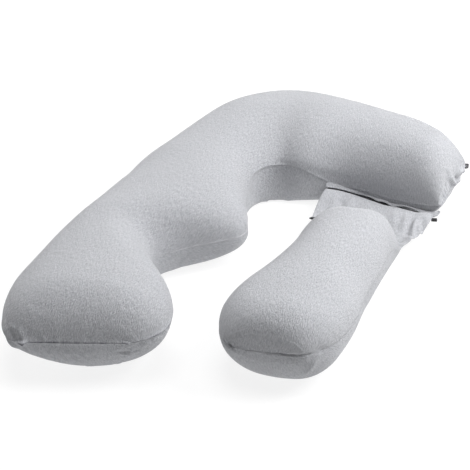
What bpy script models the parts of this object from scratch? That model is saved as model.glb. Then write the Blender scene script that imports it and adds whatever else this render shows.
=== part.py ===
"""U-shaped pregnancy pillow with a zipped-on side leg.

The pillow lies flat on the floor. +Y runs from the two open ends of the U to the head,
+X runs to the side leg, and +Z is up. Lengths are in metres.
"""
import math

import bmesh
import bpy
import numpy as np
from mathutils import Vector
from mathutils.bvhtree import BVHTree

# Pillow bodies. The seam joins the top panel to the bottom panel.
ROUND_STEPS = 7            # rings that turn each closed end over
SEAM_DRAW_IN = 0.003       # how far the thread pulls the seam below the cloth beside it
SEAM_SIDE_ANGLE = 0.16     # where the cloth stands up again beside the seam, in radians
CROWN_POWER = 0.9          # fullness of the upper half of a section
FLOOR_PRESS = 1.06         # the underside is this much too deep, so it presses flat
EDGE_HEIGHT = 0.03         # height of the end seam, as a share of the full section

MAIN_RINGS = 58
MAIN_TOP_POINTS = 13
MAIN_FOOT_ROUND = 0.110    # length over which the foot end turns down
MAIN_HEAD_ROUND = 0.060    # the same at the head's squared end
MAIN_FOOT_NARROWING = 0.36
MAIN_HEAD_NARROWING = 0.10

# Sections of the main pillow, from the foot end to the head's right end. The inner point is
# on the seam that faces the sleeper, the outer point is on the seam that faces away. Each tuck
# is how round the underside is below that seam, where a small number is squarer.
COLUMNS = ("inner_x", "inner_y", "outer_x", "outer_y",
           "top", "inner_seam", "outer_seam", "inner_tuck", "outer_tuck")
MAIN_SECTIONS = (
    (0.050, -0.478, -0.290, -0.638, 0.225, 0.118, 0.118, 1.05, 0.80),   # foot end
    (0.030, -0.388, -0.338, -0.480, 0.225, 0.118, 0.118, 0.95, 1.10),   # widest part of the foot
    (-0.035, -0.290, -0.362, -0.338, 0.220, 0.112, 0.112, 0.75, 0.65),
    (-0.150, -0.165, -0.371, -0.172, 0.215, 0.105, 0.105, 0.70, 0.60),  # waist
    (-0.062, -0.042, -0.375, -0.030, 0.215, 0.105, 0.105, 0.70, 0.60),
    (-0.012, 0.060, -0.377, 0.110, 0.215, 0.105, 0.105, 0.70, 0.60),    # belly bulge
    (-0.026, 0.140, -0.374, 0.230, 0.215, 0.110, 0.105, 0.60, 0.60),
    (-0.076, 0.228, -0.353, 0.372, 0.215, 0.120, 0.105, 0.40, 0.60),
    (-0.083, 0.320, -0.297, 0.595, 0.215, 0.125, 0.105, 0.28, 0.60),    # inside of the neck bend
    (-0.034, 0.370, -0.148, 0.768, 0.215, 0.125, 0.105, 0.20, 0.60),
    (0.030, 0.378, 0.022, 0.761, 0.213, 0.116, 0.105, 0.45, 0.60),      # middle of the head
    (0.092, 0.415, 0.094, 0.755, 0.213, 0.080, 0.105, 0.50, 0.60),      # the leg's join starts
    (0.150, 0.432, 0.160, 0.743, 0.213, 0.066, 0.105, 0.50, 0.60),
    (0.250, 0.434, 0.262, 0.719, 0.209, 0.058, 0.104, 0.60, 0.60),
    (0.340, 0.438, 0.348, 0.676, 0.200, 0.054, 0.100, 0.60, 0.60),
    (0.396, 0.446, 0.413, 0.645, 0.182, 0.054, 0.096, 0.60, 0.80),      # head's right end
)

SIDE_LEG_RINGS = 22
SIDE_FILL_END_RINGS = 20
SIDE_TAIL_RINGS = 16
SIDE_TOP_POINTS = 11
SIDE_FOOT_ROUND = 0.110
SIDE_FOOT_NARROWING = 0.36
SIDE_FILL_ROUND = 0.110    # the filling's far end turns down over this length
SIDE_FILL_END = 0.600      # where the filling ends, measured along the middle of the leg
SIDE_FILL_TURN = 0.470     # from here to the filling's end the rings lie closer together
SIDE_FILL_CORNER = 0.060   # it ends this much earlier at the two seams, so its end is round
FILL_END_POWER = 1.6       # how steeply the filling's end comes down to the flat cover
TAIL_EDGE_LIFT = 0.050     # the cover's side edges leave the filling this high
TAIL_RISE_START = 0.700    # from here the empty cover rises from the floor to the zip
TAIL_THICK = 0.010         # two layers of jersey and the air between them
TAIL_EDGE_THICK = 0.004    # the same where both layers are sewn to the zip
TAIL_WAVE = 0.008          # height of the soft folds across the empty cover
TAIL_WAVES = 4.5           # folds across its width

# Sections of the side pillow, from its near end to the zip.
SIDE_SECTIONS = (
    (0.162, -0.434, 0.378, -0.383, 0.215, 0.110, 0.110, 1.00, 0.90),    # near end
    (0.123, -0.330, 0.401, -0.280, 0.215, 0.110, 0.110, 0.90, 0.90),
    (0.142, -0.150, 0.387, -0.120, 0.215, 0.105, 0.105, 0.70, 0.60),
    (0.160, 0.000, 0.379, 0.020, 0.215, 0.105, 0.105, 0.75, 0.60),
    (0.148, 0.120, 0.373, 0.130, 0.210, 0.100, 0.100, 0.80, 0.60),
    (0.122, 0.210, 0.372, 0.215, 0.200, 0.095, 0.095, 0.80, 0.60),      # the filling ends soon
    (0.092, 0.300, 0.384, 0.305, 0.200, 0.095, 0.095, 0.90, 0.90),
    (0.086, 0.405, 0.391, 0.415, 0.200, 0.095, 0.095, 0.90, 0.90),      # the zip
)

# The join along the front of the head. The flap is sewn on above the zip.
CLOTH_GAP = 0.0007         # between pieces that lie against each other
JOIN_LEFT = 0.090          # plan position of the join's two ends
JOIN_RIGHT = 0.384
JOIN_STEPS = 44
FLAP_HEIGHT_LEFT = 0.073   # height of the flap's sewn edge
FLAP_HEIGHT_RIGHT = 0.045
FLAP_SAG = 0.008           # the flap hangs this much lower half way along
FLAP_WIDTH_LEFT = 0.0135
FLAP_WIDTH_RIGHT = 0.0085
FLAP_PAST_ZIP = 0.006      # it runs on this far past each end of the zip
FLAP_THICK = 0.0022        # a folded strip of jersey
FLAP_FALL = 0.62           # radians below level at which the flap stands out
FLAP_WAVE = 0.0016         # unevenness of the flap's free edge
ZIP_BELOW_FLAP = 0.0135
ZIP_END_DROOP = 0.003      # the zip sinks this much more at its right end
ZIP_WIDTH = 0.014
ZIP_STRAIGHT_END = 0.024
ZIP_SEWN_GAP = 0.001       # from the tape to the leg's cover
ZIP_THICK = 0.0024
STRIP_SHARP_ANGLE = math.radians(50)

FRONT_LOOK_FROM = 0.25     # y of a place in the open space in front of the head

# Small trim.
SLIDER_SIZE = (0.015, 0.009, 0.008)
SLIDER_DROP = 0.0052       # it hangs this much lower than the zip
SIDE_END_SIZE = (0.013, 0.007, 0.005)
SIDE_END_Y = 0.262
SIDE_END_REACH = 0.012     # the edge is looked for this far either side of SIDE_END_Y
PULL_SIZE = (0.0045, 0.012, 0.014)
PULL_Y = 0.632
PULL_Z = 0.094
TRIM_BEVEL = 0.0016

JERSEY = ((0.60, 0.605, 0.63), 0.92)
BLACK_ZIP = ((0.012, 0.012, 0.015), 0.55)
GREY_PULL = ((0.19, 0.19, 0.20), 0.5)


def clear_scene():
    for thing in list(bpy.data.objects):
        bpy.data.objects.remove(thing, do_unlink=True)


def make_material(name, finish):
    colour, roughness = finish
    material = bpy.data.materials.new(name)
    material.use_nodes = True
    shader = material.node_tree.nodes["Principled BSDF"]
    shader.inputs["Base Color"].default_value = (*colour, 1.0)
    shader.inputs["Roughness"].default_value = roughness
    shader.inputs["Metallic"].default_value = 0.0
    return material


def smooth_through(stations, rows, where):
    """Natural cubic spline through the rows at the stations, read at the distances in where."""
    count = len(stations)
    step = np.diff(stations)
    system = np.eye(count)
    right = np.zeros_like(rows)
    for i in range(1, count - 1):
        system[i, i - 1:i + 2] = (step[i - 1], 2 * (step[i - 1] + step[i]), step[i])
        right[i] = 6 * ((rows[i + 1] - rows[i]) / step[i] - (rows[i] - rows[i - 1]) / step[i - 1])
    bend = np.linalg.solve(system, right)
    k = np.clip(np.searchsorted(stations, where) - 1, 0, count - 2)
    before = ((stations[k + 1] - where) / step[k])[:, None]
    after = 1 - before
    width = step[k][:, None]
    return (before * rows[k] + after * rows[k + 1]
            + ((before**3 - before) * bend[k] + (after**3 - after) * bend[k + 1]) * width**2 / 6)


def round_over(distance, reach):
    """0 at a closed end, rising as a quarter circle to 1 at the distance reach from it."""
    inside = np.clip(distance / reach, 0.0, 1.0)
    return np.sqrt(1.0 - (1.0 - inside)**2)


def ease(value):
    value = np.clip(value, 0.0, 1.0)
    return value * value * (3 - 2 * value)


def read_sections(sections):
    """Distances of the sections along the pillow's mid line, and their values by column."""
    rows = np.array(sections)
    inner = rows[:, [COLUMNS.index("inner_x"), COLUMNS.index("inner_y")]]
    outer = rows[:, [COLUMNS.index("outer_x"), COLUMNS.index("outer_y")]]
    steps = np.linalg.norm(np.diff((inner + outer) / 2, axis=0), axis=1)
    return np.concatenate([[0.0], np.cumsum(steps)]), rows


def end_rings(reach):
    """Ring places from a closed end inwards, closer together where the end turns over."""
    turn = np.linspace(0.0, math.pi / 2, ROUND_STEPS + 1)[:-1]
    return reach * (1 - np.cos(np.maximum(turn, math.asin(EDGE_HEIGHT))))


def section_angles(top_points):
    """Angles round a section, from the inner seam over the top and back underneath."""
    over = np.linspace(SEAM_SIDE_ANGLE, math.pi - SEAM_SIDE_ANGLE, top_points)
    return np.concatenate([[0.0], over, [math.pi], over + math.pi])


def section_shape(angle, section):
    """Place across the section, -1 inner seam to 1 outer seam, and height, -1 to 1."""
    across = -math.cos(angle)
    height = math.sin(angle)
    if height >= 0:
        power = CROWN_POWER
    elif across < 0:
        power = section["inner_tuck"]
    else:
        power = section["outer_tuck"]
    across = math.copysign(abs(across)**power, across)
    if abs(height) < 1e-9:
        return across, 0.0
    return across, math.copysign(abs(height)**power, height)


def finish_mesh(name, bm, material, sharp_angle=None):
    """Turns the finished bmesh into an object whose faces point out and are shaded smooth."""
    bmesh.ops.recalc_face_normals(bm, faces=bm.faces)
    if bm.calc_volume(signed=True) < 0:
        bmesh.ops.reverse_faces(bm, faces=bm.faces)
    bmesh.ops.triangulate(bm, faces=bm.faces)
    mesh = bpy.data.meshes.new(name)
    bm.to_mesh(mesh)
    bm.free()
    mesh.shade_smooth()
    if sharp_angle is not None:
        mesh.set_sharp_from_angle(angle=sharp_angle)
    thing = bpy.data.objects.new(name, mesh)
    thing.data.materials.append(material)
    bpy.context.collection.objects.link(thing)
    return thing


def seam_height(section, across):
    """Height of the line that joins the two seams, at a place across the section."""
    share = (across + 1) / 2
    return section["inner_seam"] + (section["outer_seam"] - section["inner_seam"]) * share


def skin_rings(name, rings, material):
    """One closed mesh from rings of points. Each end ring closes across its own width."""
    count = len(rings[0])
    top_points = (count - 2) // 2
    bm = bmesh.new()
    verts = [[bm.verts.new(point) for point in ring] for ring in rings]
    for this, following in zip(verts, verts[1:]):
        for k in range(count):
            after = (k + 1) % count
            bm.faces.new((this[k], this[after], following[after], following[k]))
    for ring in (verts[0], verts[-1]):
        bm.faces.new((ring[0], ring[1], ring[-1]))
        for k in range(1, top_points):
            bm.faces.new((ring[k], ring[k + 1], ring[-k - 1], ring[-k]))
        bm.faces.new((ring[top_points], ring[top_points + 1], ring[top_points + 2]))
    return finish_mesh(name, bm, material)


def make_main_pillow(material):
    stations, rows = read_sections(MAIN_SECTIONS)
    length = stations[-1]
    where = np.concatenate([
        end_rings(MAIN_FOOT_ROUND),
        np.linspace(MAIN_FOOT_ROUND, length - MAIN_HEAD_ROUND, MAIN_RINGS),
        length - end_rings(MAIN_HEAD_ROUND)[::-1]])
    values = smooth_through(stations, rows, where)
    at_foot = round_over(where, MAIN_FOOT_ROUND)
    at_head = round_over(length - where, MAIN_HEAD_ROUND)
    rings = []
    for i, row in enumerate(values):
        section = dict(zip(COLUMNS, row))
        fullness = at_foot[i] * at_head[i]
        narrow = ((1 - MAIN_FOOT_NARROWING * (1 - at_foot[i]))
                  * (1 - MAIN_HEAD_NARROWING * (1 - at_head[i])))
        inner = np.array((section["inner_x"], section["inner_y"]))
        outer = np.array((section["outer_x"], section["outer_y"]))
        middle = (inner + outer) / 2
        half = (outer - inner) / 2 * narrow
        draw_in = 1 - SEAM_DRAW_IN / np.linalg.norm(half)
        ring = []
        for angle in section_angles(MAIN_TOP_POINTS):
            across, height = section_shape(angle, section)
            seam = seam_height(section, across)
            if height == 0.0:
                across *= draw_in
            x, y = middle + half * across
            depth = section["top"] - seam if height > 0 else seam * FLOOR_PRESS
            ring.append((x, y, max(seam + depth * height * fullness, 0.0)))
        rings.append(ring)
    return skin_rings("main_pillow", rings, material)


def surface_tree(thing):
    points = [v.co.copy() for v in thing.data.vertices]
    return BVHTree.FromPolygons(points, [tuple(p.vertices) for p in thing.data.polygons])


def touch(thing, start, direction):
    """The first point of the thing's surface that lies in this direction from start."""
    return surface_tree(thing).ray_cast(start, direction)[0]


def front_of(pillow):
    """A function that finds the pillow's front face at a plan position x and a height z."""
    tree = surface_tree(pillow)

    def find(x, z):
        return tree.ray_cast(Vector((x, FRONT_LOOK_FROM, z)), Vector((0.0, 1.0, 0.0)))[0].y
    return find


def clear_of_head(head_front, x, z, thick):
    """How far back a strip of this thickness can reach without touching the head."""
    beside = (JOIN_RIGHT - JOIN_LEFT) / JOIN_STEPS / 2
    return min(head_front(x + dx, z + dz) for dx in (-beside, 0.0, beside)
               for dz in (-thick / 2, 0.0, thick / 2)) - CLOTH_GAP


def along_join(x):
    return min(max((x - JOIN_LEFT) / (JOIN_RIGHT - JOIN_LEFT), 0.0), 1.0)


def flap_height(x):
    t = along_join(x)
    straight = FLAP_HEIGHT_LEFT + (FLAP_HEIGHT_RIGHT - FLAP_HEIGHT_LEFT) * t
    return straight - FLAP_SAG * 4 * t * (1 - t)


def zip_height(x):
    return flap_height(x) - ZIP_BELOW_FLAP - ZIP_END_DROOP * along_join(x)**4


def zip_front(head_front, x):
    """The tape's front edge. It runs straight on where the head's corner turns away."""
    x = min(max(x, JOIN_LEFT), JOIN_RIGHT - ZIP_STRAIGHT_END)
    return clear_of_head(head_front, x, zip_height(x), ZIP_THICK) - ZIP_WIDTH


def make_side_pillow(material, head_front):
    stations, rows = read_sections(SIDE_SECTIONS)
    length = stations[-1]
    where = np.concatenate([
        end_rings(SIDE_FOOT_ROUND),
        np.linspace(SIDE_FOOT_ROUND, SIDE_FILL_TURN, SIDE_LEG_RINGS)[:-1],
        np.linspace(SIDE_FILL_TURN, SIDE_FILL_END, SIDE_FILL_END_RINGS)[:-1],
        np.linspace(SIDE_FILL_END, length, SIDE_TAIL_RINGS)])
    values = smooth_through(stations, rows, where)
    at_foot = round_over(where, SIDE_FOOT_ROUND)
    rising = ease((where - TAIL_RISE_START) / (where[-1] - TAIL_RISE_START))
    reaching = ease((where - SIDE_FILL_END) / (where[-1] - SIDE_FILL_END))
    end_row = dict(zip(COLUMNS, values[-1]))
    rings = []
    for i, row in enumerate(values):
        section = dict(zip(COLUMNS, row))
        narrow = 1 - SIDE_FOOT_NARROWING * (1 - at_foot[i])
        inner = np.array((section["inner_x"], section["inner_y"]))
        outer = np.array((section["outer_x"], section["outer_y"]))
        middle = (inner + outer) / 2
        half = (outer - inner) / 2 * narrow
        draw_in = 1 - SEAM_DRAW_IN / np.linalg.norm(half)
        flat = TAIL_THICK + (TAIL_EDGE_THICK - TAIL_THICK) * rising[i]
        ring = []
        for angle in section_angles(SIDE_TOP_POINTS):
            across, height = section_shape(angle, section)
            fill_end = SIDE_FILL_END - SIDE_FILL_CORNER * across**2
            filled = float(round_over(fill_end - where[i], SIDE_FILL_ROUND))**FILL_END_POWER
            slack = TAIL_WAVE * reaching[i] * (1 - rising[i]) * (1 - across**2) * (1 - filled)
            full_seam = seam_height(section, across)
            if height == 0.0:
                across *= draw_in
            x, y = middle + half * across
            share = (x - end_row["inner_x"]) / (end_row["outer_x"] - end_row["inner_x"])
            chord = end_row["inner_y"] + (end_row["outer_y"] - end_row["inner_y"]) * share
            y += (zip_front(head_front, x) - ZIP_SEWN_GAP - chord) * reaching[i]
            tail_low = rising[i] * (zip_height(x) - flat / 2)
            tail_low += slack * (1 + math.sin(2 * math.pi * TAIL_WAVES * share))
            tail_low += TAIL_EDGE_LIFT * across**2 * (1 - reaching[i])
            low = tail_low * (1 - filled)
            top = tail_low + flat + (section["top"] - tail_low - flat) * filled
            seam = tail_low + flat / 2 + (full_seam - tail_low - flat / 2) * filled
            if height > 0:
                z = seam + (top - seam) * height * at_foot[i]
            else:
                z = max(seam + (seam - low) * FLOOR_PRESS * height * at_foot[i], low)
            ring.append((x, y, z))
        rings.append(ring)
    return skin_rings("side_pillow", rings, material)


def strip_along_join(name, profile, left, right, material):
    """A closed strip that follows the join. profile(x) gives its (y, z) section, anticlockwise."""
    bm = bmesh.new()
    loops = []
    for x in np.linspace(left, right, JOIN_STEPS + 1):
        loops.append([bm.verts.new((x, y, z)) for y, z in profile(x)])
    count = len(loops[0])
    for this, following in zip(loops, loops[1:]):
        for k in range(count):
            after = (k + 1) % count
            bm.faces.new((this[k], this[after], following[after], following[k]))
    bm.faces.new(loops[0])
    bm.faces.new(loops[-1])
    return finish_mesh(name, bm, material, STRIP_SHARP_ANGLE)


def make_join_flap(material, head_front):
    def profile(x):
        t = along_join(x)
        width = FLAP_WIDTH_LEFT + (FLAP_WIDTH_RIGHT - FLAP_WIDTH_LEFT) * t
        width += FLAP_WAVE * math.sin(2 * math.pi * (3.2 * t + 0.15)) * math.sin(math.pi * t)
        z = flap_height(x)
        half = FLAP_THICK / 2
        forward = math.cos(FLAP_FALL)
        down = math.sin(FLAP_FALL)
        root = clear_of_head(head_front, x, z, FLAP_THICK)
        mid = (root - forward * width / 2, z - down * width / 2)
        tip = (root - forward * width, z - down * width)
        return [(root, z + half),
                (mid[0] - down * half, mid[1] + forward * half),
                (tip[0] - down * half * 0.8, tip[1] + forward * half * 0.8),
                (tip[0] - forward * half, tip[1] - down * half),
                (tip[0] + down * half * 0.8, tip[1] - forward * half * 0.8),
                (mid[0] + down * half, mid[1] - forward * half),
                (root, z - half)]
    return strip_along_join("join_flap", profile,
                            JOIN_LEFT - FLAP_PAST_ZIP, JOIN_RIGHT + FLAP_PAST_ZIP, material)


def make_join_zip(material, head_front):
    def profile(x):
        z = zip_height(x)
        half = ZIP_THICK / 2
        back = clear_of_head(head_front, x, z, ZIP_THICK)
        front = zip_front(head_front, x)
        return [(back, z + half), (front, z + half), (front, z - half), (back, z - half)]
    return strip_along_join("join_zip", profile, JOIN_LEFT, JOIN_RIGHT, material)


def small_block(name, size, place, material):
    """A small block of trim with rounded edges."""
    bm = bmesh.new()
    bmesh.ops.create_cube(bm, size=1.0)
    bmesh.ops.scale(bm, vec=size, verts=bm.verts)
    bmesh.ops.bevel(bm, geom=bm.edges[:], offset=TRIM_BEVEL, segments=2, affect="EDGES", profile=0.5)
    thing = finish_mesh(name, bm, material)
    thing.location = place
    return thing


def make_zip_slider(material, head_front):
    """The slider hangs at the right end of the closed zip, against the tape's front corner."""
    z = zip_height(JOIN_RIGHT)
    place = (JOIN_RIGHT + CLOTH_GAP + SLIDER_SIZE[0] / 2,
             zip_front(head_front, JOIN_RIGHT), z - SLIDER_DROP)
    return small_block("zip_slider", SLIDER_SIZE, place, material)


def make_side_zip_end(material, side_pillow):
    """The end of the leg cover's own zip, against the left edge of the flat tail."""
    near = [v.co for v in side_pillow.data.vertices if abs(v.co.y - SIDE_END_Y) < SIDE_END_REACH]
    edge = min(near, key=lambda point: point.x)
    place = (edge.x - CLOTH_GAP - SIDE_END_SIZE[0] / 2, edge.y, edge.z)
    return small_block("side_zip_end", SIDE_END_SIZE, place, material)


def make_corner_pull(material, main_pillow):
    """The small tab at the back corner of the head's right end."""
    end = touch(main_pillow, Vector((0.7, PULL_Y, PULL_Z)), Vector((-1.0, 0.0, 0.0)))
    place = (end.x + CLOTH_GAP + PULL_SIZE[0] / 2, PULL_Y, PULL_Z)
    return small_block("corner_pull", PULL_SIZE, place, material)


def centre_on_floor(things):
    """Move the whole pillow so that the middle of its box is at x = y = 0 and it stands on z = 0."""
    bpy.context.view_layer.update()
    corners = np.array([thing.matrix_world @ Vector(corner)
                        for thing in things for corner in thing.bound_box])
    low, high = corners.min(axis=0), corners.max(axis=0)
    shift = Vector((-(low[0] + high[0]) / 2, -(low[1] + high[1]) / 2, -low[2]))
    for thing in things:
        thing.location += shift


def build():
    clear_scene()
    jersey = make_material("grey_melange_jersey", JERSEY)
    black = make_material("black_zip", BLACK_ZIP)
    grey = make_material("grey_pull", GREY_PULL)
    main_pillow = make_main_pillow(jersey)
    head_front = front_of(main_pillow)
    side_pillow = make_side_pillow(jersey, head_front)
    flap = make_join_flap(jersey, head_front)
    join_zip = make_join_zip(black, head_front)
    slider = make_zip_slider(black, head_front)
    side_end = make_side_zip_end(black, side_pillow)
    pull = make_corner_pull(grey, main_pillow)
    centre_on_floor([main_pillow, side_pillow, flap, join_zip, slider, side_end, pull])


build()
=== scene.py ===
"""Looks of the U-shaped pregnancy pillow: jersey covers, seams, flap, zip and trim.

The pillow lies flat. +Y runs from the open ends of the U to the head roll, +X to the zipped-on
side leg, +Z up. Lengths are in metres.
"""

import math

import bmesh
import bpy
import numpy as np
from mathutils import Matrix, Vector
from mathutils.bvhtree import BVHTree


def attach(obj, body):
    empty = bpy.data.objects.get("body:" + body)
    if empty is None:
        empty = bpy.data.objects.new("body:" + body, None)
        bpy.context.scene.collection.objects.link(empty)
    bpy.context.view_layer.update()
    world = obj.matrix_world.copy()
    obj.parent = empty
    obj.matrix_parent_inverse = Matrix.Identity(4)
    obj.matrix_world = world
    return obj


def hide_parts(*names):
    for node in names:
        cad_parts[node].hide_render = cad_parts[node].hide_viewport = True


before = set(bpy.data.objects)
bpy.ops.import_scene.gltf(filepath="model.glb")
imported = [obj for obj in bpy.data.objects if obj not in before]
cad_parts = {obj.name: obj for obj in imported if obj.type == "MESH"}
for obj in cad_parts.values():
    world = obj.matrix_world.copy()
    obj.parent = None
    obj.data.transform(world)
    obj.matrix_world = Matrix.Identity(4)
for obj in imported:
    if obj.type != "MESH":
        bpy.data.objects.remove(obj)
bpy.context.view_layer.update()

# ---------------------------------------------------------------------------------------------
# Main body. A top and a bottom panel of grey melange jersey, sewn face to face round the edge,
# turned and stuffed hard with fibre. The seam runs round at mid height and dips below the head.
PLAN_SHIFT = np.array((-0.0206, -0.0809))    # from the pattern's own plan to the pillow's middle
SECTION_PARTS = ("inner_x", "inner_y", "outer_x", "outer_y",
                 "top", "inner_seam", "outer_seam", "inner_tuck", "outer_tuck")
BODY_SECTIONS = (
    (0.050, -0.478, -0.288, -0.638, 0.225, 0.118, 0.118, 1.10, 0.95),   # foot end
    (0.030, -0.388, -0.338, -0.480, 0.225, 0.118, 0.118, 0.95, 1.30),   # widest part of the foot
    (-0.035, -0.290, -0.363, -0.338, 0.221, 0.110, 0.112, 0.75, 0.75),
    (-0.150, -0.165, -0.371, -0.172, 0.215, 0.092, 0.105, 0.70, 0.60),  # waist
    (-0.060, -0.042, -0.375, -0.030, 0.215, 0.095, 0.105, 0.85, 0.60),
    (0.006, 0.054, -0.378, 0.110, 0.215, 0.094, 0.105, 0.90, 0.60),     # belly bulge
    (-0.034, 0.142, -0.375, 0.230, 0.216, 0.094, 0.105, 0.75, 0.60),
    (-0.076, 0.228, -0.353, 0.372, 0.215, 0.106, 0.105, 0.40, 0.60),
    (-0.083, 0.320, -0.298, 0.602, 0.227, 0.125, 0.105, 0.28, 0.60),    # inside of the neck bend
    (-0.034, 0.370, -0.148, 0.768, 0.225, 0.125, 0.105, 0.20, 0.60),
    (0.030, 0.378, 0.022, 0.761, 0.235, 0.116, 0.105, 0.45, 0.60),      # middle of the head
    (0.092, 0.415, 0.094, 0.755, 0.228, 0.076, 0.105, 0.50, 0.60),      # the leg's join starts
    (0.150, 0.432, 0.160, 0.745, 0.219, 0.066, 0.105, 0.50, 0.60),
    (0.250, 0.434, 0.262, 0.721, 0.212, 0.058, 0.104, 0.60, 0.60),
    (0.340, 0.438, 0.348, 0.676, 0.200, 0.054, 0.100, 0.60, 0.60),
    (0.396, 0.446, 0.413, 0.645, 0.182, 0.054, 0.096, 0.60, 0.80),      # head's right end
)
BODY_FOOT_ROUND = 0.110    # length over which the foot end turns over
BODY_HEAD_ROUND = 0.060
BODY_HEAD_DOME = 0.102     # the top of the head's end starts to fall away earlier
BODY_FOOT_FULLNESS = 2.1   # 2 turns an end over in a quarter circle, more in a squarer curve
BODY_HEAD_FULLNESS = 2.6
BODY_FOOT_NARROWING = 0.36
BODY_HEAD_NARROWING = 0.10
CROWN = 0.9                # fullness of the upper half of a section
FLOOR_PRESS = 1.06         # the filling presses the underside flat on the floor
SHRINK_FIRST = 0.002       # the cover is this much small before it is blown up
PUFF_LIMIT = 0.005         # the most that the fibre pushes the cover out
CLOTH_RING = 0.0085        # spacing of the cloth's rings while it is blown up
CLOTH_COLUMNS = 38         # columns of each panel while it is blown up
PUFF_STEPS = 20            # frames of the cloth's settling
ON_FLOOR = 0.002           # cloth lower than this lies on the floor and doesn't move
NEAR_SEAM = (0.0, 0.0015, 0.0032, 0.0054, 0.0084, 0.0125)   # finer rows beside every seam


def smooth_through(stations, rows, where):
    """Natural cubic spline through rows (any shape after the first axis) at the stations."""
    stations = np.asarray(stations, float)
    rows = np.asarray(rows, float)
    count = len(stations)
    step = np.diff(stations)
    system = np.eye(count)
    flat = rows.reshape(count, -1)
    right = np.zeros_like(flat)
    for i in range(1, count - 1):
        system[i, i - 1:i + 2] = (step[i - 1], 2 * (step[i - 1] + step[i]), step[i])
        right[i] = 6 * ((flat[i + 1] - flat[i]) / step[i] - (flat[i] - flat[i - 1]) / step[i - 1])
    bend = np.linalg.solve(system, right)
    k = np.clip(np.searchsorted(stations, where) - 1, 0, count - 2)
    before = ((stations[k + 1] - where) / step[k])[:, None]
    after = 1 - before
    width = step[k][:, None]
    out = (before * flat[k] + after * flat[k + 1]
           + ((before**3 - before) * bend[k] + (after**3 - after) * bend[k + 1]) * width**2 / 6)
    return out.reshape((len(where),) + rows.shape[1:])


def ease(value):
    value = np.clip(value, 0.0, 1.0)
    return value * value * (3 - 2 * value)


def round_over(distance, reach, fullness=2.0):
    """0 at a closed end, rising to 1 at the distance reach: a quarter circle, or fuller."""
    inside = np.clip(distance / reach, 0.0, 1.0)
    return (1.0 - (1.0 - inside)**fullness)**(1.0 / fullness)


def hump(value, centre, width):
    """1 at the centre, falling smoothly to 0 about two widths away."""
    return np.exp(-((value - centre) / width)**2)


def section_length(sections):
    """Length of the line through the middles of the sections, with each section's place on it."""
    rows = np.array(sections)
    steps = np.linalg.norm(np.diff((rows[:, 0:2] + rows[:, 2:4]) / 2, axis=0), axis=1)
    stations = np.concatenate([[0.0], np.cumsum(steps)])
    return stations[-1], stations


def read_sections(sections, where):
    """The sections' values by name, read smoothly at the distances in where."""
    values = smooth_through(section_length(sections)[1], np.array(sections), where)
    return {part: values[:, k] for k, part in enumerate(SECTION_PARTS)}


def panel_curve(power_inner, power_outer):
    """Across (-1 to 1) and height (0 to 1) along one panel, from inner to outer seam."""
    angle = np.linspace(0.0, math.pi / 2, 61)
    c, s = np.cos(angle), np.sin(angle)
    left = np.stack([-c**power_inner, s**power_inner], -1)
    right = np.stack([c**power_outer, s**power_outer], -1)[::-1]
    return np.concatenate([left, right[1:]])


def by_distance(line, places):
    """Points along a 3-D polyline at the shares (0 to 1) of its length."""
    steps = np.linalg.norm(np.diff(line, axis=0), axis=1)
    along = np.concatenate([[0.0], np.cumsum(steps)])
    along /= along[-1]
    return np.stack([np.interp(places, along, line[:, k]) for k in range(3)], -1)


def ring_places(length, first_round, last_round, spacing, least=0.10):
    """Ring places along a pillow. spacing(place) is their distance, and a closed end that turns
    over has them closer together still."""
    places = [0.0]
    while places[-1] < length:
        s = places[-1]
        step = spacing(s)
        for at, reach in ((s, first_round), (length - s, last_round)):
            if reach and at < reach:
                step *= max(least, math.sqrt(max(at, 0.0) / reach))
        places.append(s + step)
    places = np.array(places)
    return places * length / places[-1]


# Slacker stretches of the upper half: how much, how far from the foot end, and its reach.
INNER_SLACK = ((0.06, 0.42, 0.13), (0.24, 0.68, 0.10), (0.45, 1.07, 0.18))   # waist, bulge, neck
OUTER_SLACK = ((0.27, 1.29, 0.22),)                                          # behind the head


def body_crown(where, slack):
    """The upper half's roundness, which slopes more gently in its slacker stretches."""
    return CROWN + sum(more * hump(where, at, reach) for more, at, reach in slack)


def body_panels(where, shares):
    """The two panels of the main body as grids of points: ring, column, xyz."""
    length = section_length(BODY_SECTIONS)[0]
    part = read_sections(BODY_SECTIONS, where)
    at_foot = round_over(where, BODY_FOOT_ROUND)
    at_head = round_over(length - where, BODY_HEAD_ROUND)
    full = (round_over(where, BODY_FOOT_ROUND, BODY_FOOT_FULLNESS)
            * round_over(length - where, BODY_HEAD_DOME, BODY_HEAD_FULLNESS))
    narrow = (1 - BODY_FOOT_NARROWING * (1 - at_foot)) * (1 - BODY_HEAD_NARROWING * (1 - at_head))
    top, low = [], []
    for i in range(len(where)):
        inner = np.array((part["inner_x"][i], part["inner_y"][i])) + PLAN_SHIFT
        outer = np.array((part["outer_x"][i], part["outer_y"][i])) + PLAN_SHIFT
        middle, half = (inner + outer) / 2, (outer - inner) / 2 * narrow[i]
        over = panel_curve(body_crown(where[i], INNER_SLACK), body_crown(where[i], OUTER_SLACK))
        under = panel_curve(part["inner_tuck"][i], part["outer_tuck"][i])
        for panel, curve in ((top, over), (low, under)):
            across, height = curve[:, 0], curve[:, 1]
            rise = (across + 1) / 2
            seam = part["inner_seam"][i] * (1 - rise) + part["outer_seam"][i] * rise
            if panel is top:
                z = seam + (part["top"][i] - seam) * height * full[i]
            else:
                z = np.maximum(seam - seam * FLOOR_PRESS * height * full[i], 0.0)
            line = np.concatenate([middle + half * across[:, None], z[:, None]], -1)
            panel.append(by_distance(line, shares))
    return np.array(top), np.array(low)


def fine_shares(count, width):
    """Column places as shares of the panel's width, with the finer rows beside both seams."""
    near = np.array(NEAR_SEAM) / width
    inside = np.linspace(near[-1], 1 - near[-1], count - 2 * len(NEAR_SEAM) + 3)
    return np.concatenate([near[:-1], inside, (1 - near[:-1])[::-1]])


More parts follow.
